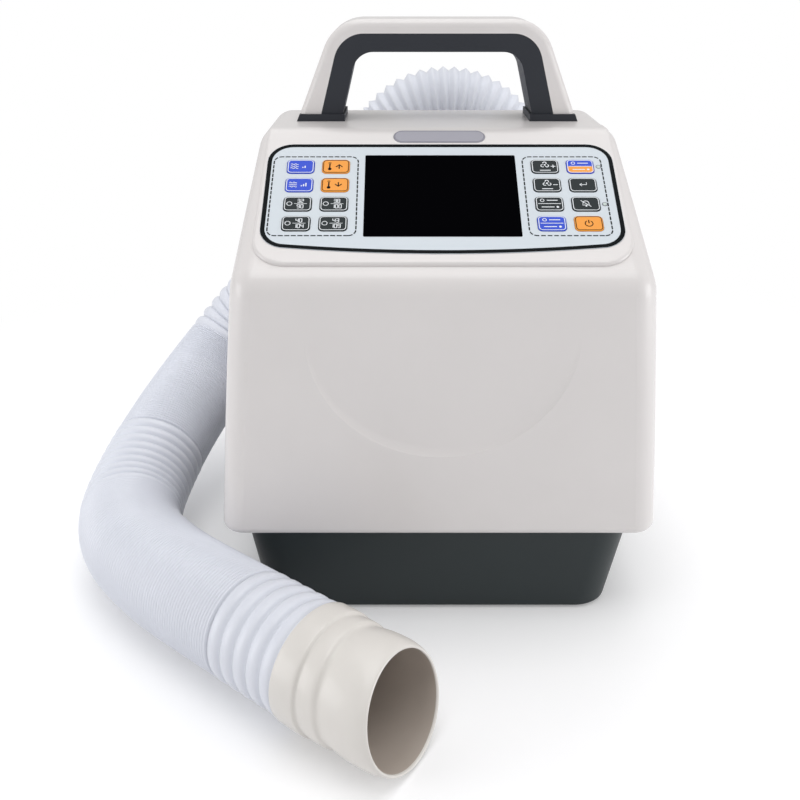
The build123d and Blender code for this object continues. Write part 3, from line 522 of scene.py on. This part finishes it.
def power(film, x, s):
    film.ring(x, s, 2.5, 0.6, 120, 420)
    film.strip([(x, s + 0.2), (x, s + 3.2)], 0.7)


def bell(film, x, s):
    film.ring(x, s + 0.4, 1.8, 0.5, 0, 180)
    skirt = [(x - 1.8, s + 0.5), (x - 2.3, s - 1.6), (x + 2.3, s - 1.6), (x + 1.8, s + 0.5)]
    film.strip(skirt, 0.5)
    film.disc(x, s - 2.5, 0.6)
    film.strip([(x - 3.2, s + 2.6), (x + 3.2, s - 3.0)], 0.5)


def waves(film, x, s):
    for row in (-1.5, 0.4, 2.3):
        points = [(x - 2.6 + 0.52 * i, s + row + 0.55 * math.sin(i * 1.25)) for i in range(11)]
        film.strip(points, 0.5)


def enter(film, x, s):
    film.strip([(x + 2.4, s + 1.6), (x + 2.4, s - 0.6), (x - 2.0, s - 0.6)], 0.55)
    film.strip([(x - 0.8, s + 0.7), (x - 2.2, s - 0.6), (x - 0.8, s - 1.9)], 0.55)


# Numerals: the strokes of each, on a cell one wide and two high
STROKES = {
    "a": ((0, 2), (1, 2)),
    "b": ((1, 2), (1, 1)),
    "c": ((1, 1), (1, 0)),
    "d": ((0, 0), (1, 0)),
    "e": ((0, 0), (0, 1)),
    "f": ((0, 1), (0, 2)),
    "g": ((0, 1), (1, 1)),
}
NUMERALS = {
    "0": "abcdef",
    "1": "bc",
    "2": "abged",
    "3": "abgcd",
    "4": "fgbc",
    "8": "abcdefg",
    "9": "abcdfg",
}

# Temperatures on the lower left keys, by row and column
KEY_NUMBERS = {
    (3, 1): ("32", "90"),
    (3, 2): ("38", "100"),
    (4, 1): ("40", "104"),
    (4, 2): ("43", "109"),
}

# Numbers: height, distance from the key's middle, line, and cell's width and advance as shares
NUMBER_HEIGHT = 3.2
NUMBER_RISE = 2.5
NUMBER_LINE = 0.5
CELL_WIDTH = 0.5
CELL_ADVANCE = 1.45

# Keys whose symbols are dark, and the key whose lower half has a second colour
DARK_MARKED_KEYS = ((1, 2), (2, 2), (4, 4))
TWO_COLOUR_KEY = (1, 4)


def number(film, text, x, s):
    """A plain number, its middle at x and s."""
    cell = NUMBER_HEIGHT * CELL_WIDTH
    advance = cell * CELL_ADVANCE
    left = x - advance * (len(text) - 1) / 2 - cell / 2
    low = s - NUMBER_HEIGHT / 2
    for i, sign in enumerate(text):
        for stroke in NUMERALS[sign]:
            ends = [
                (left + i * advance + cell * across, low + NUMBER_HEIGHT * up / 2)
                for across, up in STROKES[stroke]
            ]
            film.strip(ends, NUMBER_LINE)


def key_symbols(film, row, column, x, s):
    """The symbols of one key."""
    if column == 1 and row < 3:
        waves(film, x - 4.2, s - 0.3)
        bars(film, x + 1.5, s, row + 1)
    elif column == 2 and row < 3:
        thermometer(film, x - 4.2, s)
        arrow(film, x + 2.2, s, 1 if row == 1 else -1)
    elif column < 3:
        upper, lower = KEY_NUMBERS[row, column]
        film.ring(x - 5.4, s, 1.7, 0.45)
        number(film, upper, x + 1.8, s + NUMBER_RISE)
        number(film, lower, x + 1.8, s - NUMBER_RISE)
        film.strip([(x - 2.2, s), (x + 6.2, s)], 0.35)
    elif column == 3 and row < 3:
        fan(film, x, s + 1.4)
        film.strip([(x - 3.6, s - 3.9), (x + 3.6, s - 3.9)], 0.7)
        if row == 1:
            film.strip([(x + 5.6, s - 1.6), (x + 5.6, s + 1.6)], 0.6)
        film.strip([(x + 4.0, s), (x + 7.2, s)], 0.6)
    elif (row, column) == (2, 4):
        enter(film, x, s + 0.6)
    elif (row, column) == (3, 4):
        bell(film, x, s + 0.3)
    elif (row, column) == (4, 4):
        power(film, x, s - 0.2)
    else:
        film.strip([(x - 7.4, s), (x + 7.4, s)], 0.5)
        film.ring(x - 4.6, s + 3.1, 1.2, 0.45)
        film.strip([(x - 1.6, s + 3.1), (x + 5.6, s + 3.1)], 0.7)
        film.strip([(x - 5.4, s - 3.1), (x + 3.0, s - 3.1)], 0.7)
        film.disc(x + 5.2, s - 3.1, 0.9)


def key_outline(x, s, inset, radius):
    """Points of a key's outline, drawn in by inset."""
    return rounded(x, s, KEY_WIDTH - 2 * inset, KEY_HEIGHT - 2 * inset, radius)


def add_key_prints(mats):
    """Ring line and symbols on each key, and the lower colour of one, moving with the key."""
    for row in range(1, KEY_ROWS + 1):
        for column, x in enumerate(KEY_COLUMNS, start=1):
            s = key_row(row)
            body = f"key_{row}_{column}_body"
            if (row, column) == TWO_COLOUR_KEY:
                half = Film(KEY_TOP + PRINT / 2)
                outline = key_outline(x, s, KEY_HALF_INSET, KEY_HALF_ROUND)
                half.patch([(px, min(ps, s)) for px, ps in outline])
                half.make("key_1_4_lower_half", mats["key_orange"], body)
            film = Film(KEY_TOP + PRINT)
            film.strip(key_outline(x, s, KEY_LINE_INSET, KEY_LINE_ROUND), KEY_LINE, closed=True)
            key_symbols(film, row, column, x, s)
            dark = (row, column) in DARK_MARKED_KEYS
            mat = mats["dark_print"] if dark else mats["white_print"]
            film.make(f"key_{row}_{column}_print", mat, body)


def rocker_point(side):
    """Places on one half of the rocker's face: x across, s away from its middle, n out of it."""
    slant = math.atan2(ROCKER_RISE, ROCKER_HALF)
    tilt = math.radians(ROCKER_TILT)

    def place(x, s, n):
        out = ROCKER_PIVOT + ROCKER_LOW + s * math.sin(slant) + n * math.cos(slant)
        up = side * (s * math.cos(slant) - n * math.sin(slant))
        y = REAR_Y - ROCKER_PIVOT + out * math.cos(tilt) - up * math.sin(tilt)
        z = MAINS_Z + out * math.sin(tilt) + up * math.cos(tilt)
        return Vector((ROCKER_X + x, y, z)) * MM

    return place


def add_rocker_marks(mats):
    """The plain on and off signs of the rocker, one on each half, moving with it."""
    marks = Film(PRINT, rocker_point(1))
    marks.strip([(0.0, 3.0), (0.0, 7.0)], 0.8)
    marks.place = rocker_point(-1)
    marks.ring(0.0, 5.0, 1.8, 0.6)
    marks.make("power_rocker_marks", mats["white_print"], "rocker")


# The hose and its nozzle


def route_points():
    """Points along the smooth curve that has the route as its control points."""
    curve = bpy.data.curves.new("hose_line", "CURVE")
    curve.dimensions = "3D"
    spline = curve.splines.new("NURBS")
    spline.points.add(len(HOSE_ROUTE) - 1)
    for point, place in zip(spline.points, HOSE_ROUTE):
        point.co = (*[v * MM for v in place], 1.0)
    spline.order_u = 3
    spline.use_endpoint_u = True
    spline.resolution_u = LINE_STEPS
    holder = bpy.data.objects.new("hose_line", curve)
    bpy.context.scene.collection.objects.link(holder)
    bpy.context.view_layer.update()
    shown = holder.evaluated_get(bpy.context.evaluated_depsgraph_get())
    mesh = bpy.data.meshes.new_from_object(shown)
    points = [v.co.copy() for v in mesh.vertices]
    bpy.data.meshes.remove(mesh)
    bpy.data.objects.remove(holder)
    bpy.data.curves.remove(curve)
    return points


class Track:
    """Places and directions by distance along a line of points."""

    def __init__(self, points):
        self.points = points
        self.marks = [0.0]
        for a, b in zip(points, points[1:]):
            self.marks.append(self.marks[-1] + (b - a).length)
        self.length = self.marks[-1]

    def at(self, distance):
        """Place at a distance."""
        distance = min(max(distance, 0.0), self.length)
        low, high = 0, len(self.marks) - 1
        while high - low > 1:
            middle = (low + high) // 2
            if self.marks[middle] <= distance:
                low = middle
            else:
                high = middle
        a, b = self.points[low], self.points[high]
        share = (distance - self.marks[low]) / max(1e-9, self.marks[high] - self.marks[low])
        return a.lerp(b, share)

    def direction(self, distance):
        """Direction over a few millimetres about a distance."""
        return (self.at(distance + 3 * MM) - self.at(distance - 3 * MM)).normalized()


def tube(name, rings, side, sides):
    """A tube through rings of a centre, a direction and a radius, the last joined to the first."""
    verts = []
    for centre, ahead, radius in rings:
        side = (side - ahead * side.dot(ahead)).normalized()
        up = ahead.cross(side)
        for k in range(sides):
            angle = 2 * math.pi * k / sides
            verts.append(centre + (side * math.cos(angle) + up * math.sin(angle)) * radius * MM)
    faces = []
    for i in range(len(rings)):
        near, far = i * sides, (i + 1) % len(rings) * sides
        for k in range(sides):
            after = (k + 1) % sides
            faces.append((near + k, near + after, far + after, far + k))
    return new_object(name, verts, faces, smooth=True)


def hose_rings(length):
    """Distance and radius of each ring of the hose: outside first, then back through the bore."""
    end = HOSE_RADIUS - HOSE_END_INSET
    rings = [(0.0, HOSE_RADIUS - HOSE_END_WALL), (0.0, end)]
    start = 0.0
    for share, pitch, depth, sharpness, inset in HOSE_STRETCHES:
        run = share * length
        count = round(run / (pitch * MM))
        steps = WIDE_FOLD_STEPS if pitch > WIDE_PITCH else FOLD_STEPS
        for i in range(count):
            for k in range(steps):
                turn = k / steps
                fall = abs(2 * turn - 1) ** sharpness
                radius = HOSE_RADIUS - inset - depth * fall
                rings.append((start + run * (i + turn) / count, radius))
        start += run
    rings.append((length, end))
    back = [length - length * i / BORE_RINGS for i in range(BORE_RINGS + 1)]
    return rings + [(distance, HOSE_BORE) for distance in back]


def add_hose(mats, track):
    """The hose with its folds and its bore."""
    rings = [(track.at(d), track.direction(d), radius) for d, radius in hose_rings(track.length)]
    hose = tube("air_hose", rings, Vector((1, 0, 0)), HOSE_SIDES)
    hose.data.materials.append(mats["hose"])
    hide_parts("hose")
    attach(hose, "housing")
    return hose


def add_nozzle(mats):
    """Stepped nozzle with its rounded lip, on an axis that bends a little as in the solids."""
    end = Vector(HOSE_ROUTE[-1])
    before = Vector(HOSE_ROUTE[-2])
    yaw = math.atan2(before.y - end.y, end.x - before.x)

    def heading(share, lift_degrees):
        turn = yaw - math.radians(NOZZLE_TURN * share)
        lift = math.radians(lift_degrees)
        level = math.cos(lift)
        return Vector((math.cos(turn) * level, -math.sin(turn) * level, math.sin(lift)))

    line = [end * MM]
    for i in range(NOZZLE_STEPS):
        ahead = heading((i + 0.5) / NOZZLE_STEPS, -NOZZLE_DROP)
        line.append(line[-1] + ahead * NOZZLE_LENGTH / NOZZLE_STEPS * MM)
    axis = Track(line)
    rings = []
    for along, radius in NOZZLE_OUTSIDE + NOZZLE_INSIDE:
        share = along * MM / axis.length
        rings.append((axis.at(along * MM), heading(share, MOUTH_LEAN * share), radius))
    nozzle = tube("hose_nozzle", rings, Vector((0, 0, 1)), NOZZLE_SIDES)
    nozzle.data.materials.append(mats["nozzle"])
    # Faces of the nozzle's bore take the darker material: painted shade in the bore
    nozzle.data.materials.append(mats["inside"])
    outside_faces = len(NOZZLE_OUTSIDE) * NOZZLE_SIDES
    for i, polygon in enumerate(nozzle.data.polygons):
        polygon.material_index = 0 if i < outside_faces else 1
    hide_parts("nozzle")
    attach(nozzle, "housing")
    return nozzle


def add_hose_and_nozzle(mats):
    """The hose and the nozzle on its end."""
    track = Track(route_points())
    hose = add_hose(mats, track)
    nozzle = add_nozzle(mats)


# Stage, light and camera


def fade_to_white(tree, near, rays, out):
    """Far from the object the floor shows as plain white, like the background."""
    white = node(tree, "ShaderNodeEmission", Strength=1.0)
    place = node(tree, "ShaderNodeNewGeometry")
    reach = node(tree, "ShaderNodeVectorMath")
    reach.operation = "LENGTH"
    share = node(tree, "ShaderNodeMapRange", From_Min=FADE_START, From_Max=FADE_END)
    seen_far = node(tree, "ShaderNodeMath")
    seen_far.operation = "MULTIPLY"
    ends = node(tree, "ShaderNodeMixShader")
    tree.links.new(place.outputs["Position"], reach.inputs[0])
    tree.links.new(reach.outputs["Value"], share.inputs["Value"])
    tree.links.new(share.outputs["Result"], seen_far.inputs[0])
    tree.links.new(rays.outputs["Is Camera Ray"], seen_far.inputs[1])
    tree.links.new(seen_far.outputs["Value"], ends.inputs["Fac"])
    tree.links.new(near.outputs["Shader"], ends.inputs[1])
    tree.links.new(white.outputs["Emission"], ends.inputs[2])
    tree.links.new(ends.outputs["Shader"], out.inputs["Surface"])


def add_stage():
    """Pale floor that keeps the shadow and shows as white."""
    corners = [(x * FLOOR_HALF, y * FLOOR_HALF, 0) for x, y in ((-1, -1), (1, -1), (1, 1), (-1, 1))]
    floor = new_object("floor", corners, [(0, 1, 2, 3)])
    made = bpy.data.materials.new("floor_white")
    made.use_nodes = True
    tree = made.node_tree
    tree.nodes.clear()
    out = node(tree, "ShaderNodeOutputMaterial")
    matt = node(tree, "ShaderNodeBsdfDiffuse", Color=FLOOR_COLOUR)
    glow = node(tree, "ShaderNodeEmission", Strength=FLOOR_GLOW)
    rays = node(tree, "ShaderNodeLightPath")
    seen = node(tree, "ShaderNodeMath")
    seen.operation = "MAXIMUM"
    mixed = node(tree, "ShaderNodeMixShader")
    both = node(tree, "ShaderNodeAddShader")
    tree.links.new(rays.outputs["Is Camera Ray"], seen.inputs[0])
    tree.links.new(rays.outputs["Is Glossy Ray"], seen.inputs[1])
    tree.links.new(matt.outputs["BSDF"], both.inputs[0])
    tree.links.new(glow.outputs["Emission"], both.inputs[1])
    tree.links.new(seen.outputs["Value"], mixed.inputs["Fac"])
    tree.links.new(matt.outputs["BSDF"], mixed.inputs[1])
    tree.links.new(both.outputs["Shader"], mixed.inputs[2])
    fade_to_white(tree, mixed, rays, out)
    floor.data.materials.append(made)


def set_world():
    """Even pale surroundings, which show as white behind the object."""
    world = bpy.data.worlds.new("surroundings")
    bpy.context.scene.world = world
    world.use_nodes = True
    tree = world.node_tree
    tree.nodes.clear()
    out = node(tree, "ShaderNodeOutputWorld")
    soft = node(tree, "ShaderNodeBackground", Color=WHITE, Strength=WORLD_STRENGTH)
    white = node(tree, "ShaderNodeBackground", Color=WHITE, Strength=1.0)
    rays = node(tree, "ShaderNodeLightPath")
    shown = node(tree, "ShaderNodeMixShader")
    tree.links.new(rays.outputs["Is Camera Ray"], shown.inputs["Fac"])
    tree.links.new(soft.outputs["Background"], shown.inputs[1])
    tree.links.new(white.outputs["Background"], shown.inputs[2])
    tree.links.new(shown.outputs["Shader"], out.inputs["Surface"])


def add_light(name, place, target, size, power_w):
    """A soft square lamp that looks at a target."""
    lamp = bpy.data.lights.new(name, "AREA")
    lamp.shape = "SQUARE"
    lamp.size = size
    lamp.energy = power_w
    holder = bpy.data.objects.new(name, lamp)
    bpy.context.scene.collection.objects.link(holder)
    holder.location = place
    look = Vector(target) - Vector(place)
    holder.rotation_euler = look.to_track_quat("-Z", "Y").to_euler()


def add_camera():
    """The photograph's view: 25 degrees down, straight from the front."""
    data = bpy.data.cameras.new("view")
    data.sensor_width = CAMERA_SENSOR
    data.lens = CAMERA_LENS
    holder = bpy.data.objects.new("view", data)
    bpy.context.scene.collection.objects.link(holder)
    holder.location = CAMERA_PLACE
    holder.rotation_euler = (math.radians(CAMERA_TILT), 0.0, 0.0)
    bpy.context.scene.camera = holder


def main():
    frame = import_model()
    bpy.context.scene.view_settings.view_transform = "Standard"
    mats = make_materials()
    dress_solids(frame, mats)
    add_panel_prints(mats)
    add_key_prints(mats)
    add_rocker_marks(mats)
    add_hose_and_nozzle(mats)
    add_stage()
    set_world()
    for lamp in LAMPS:
        add_light(*lamp)
    add_camera()


main()
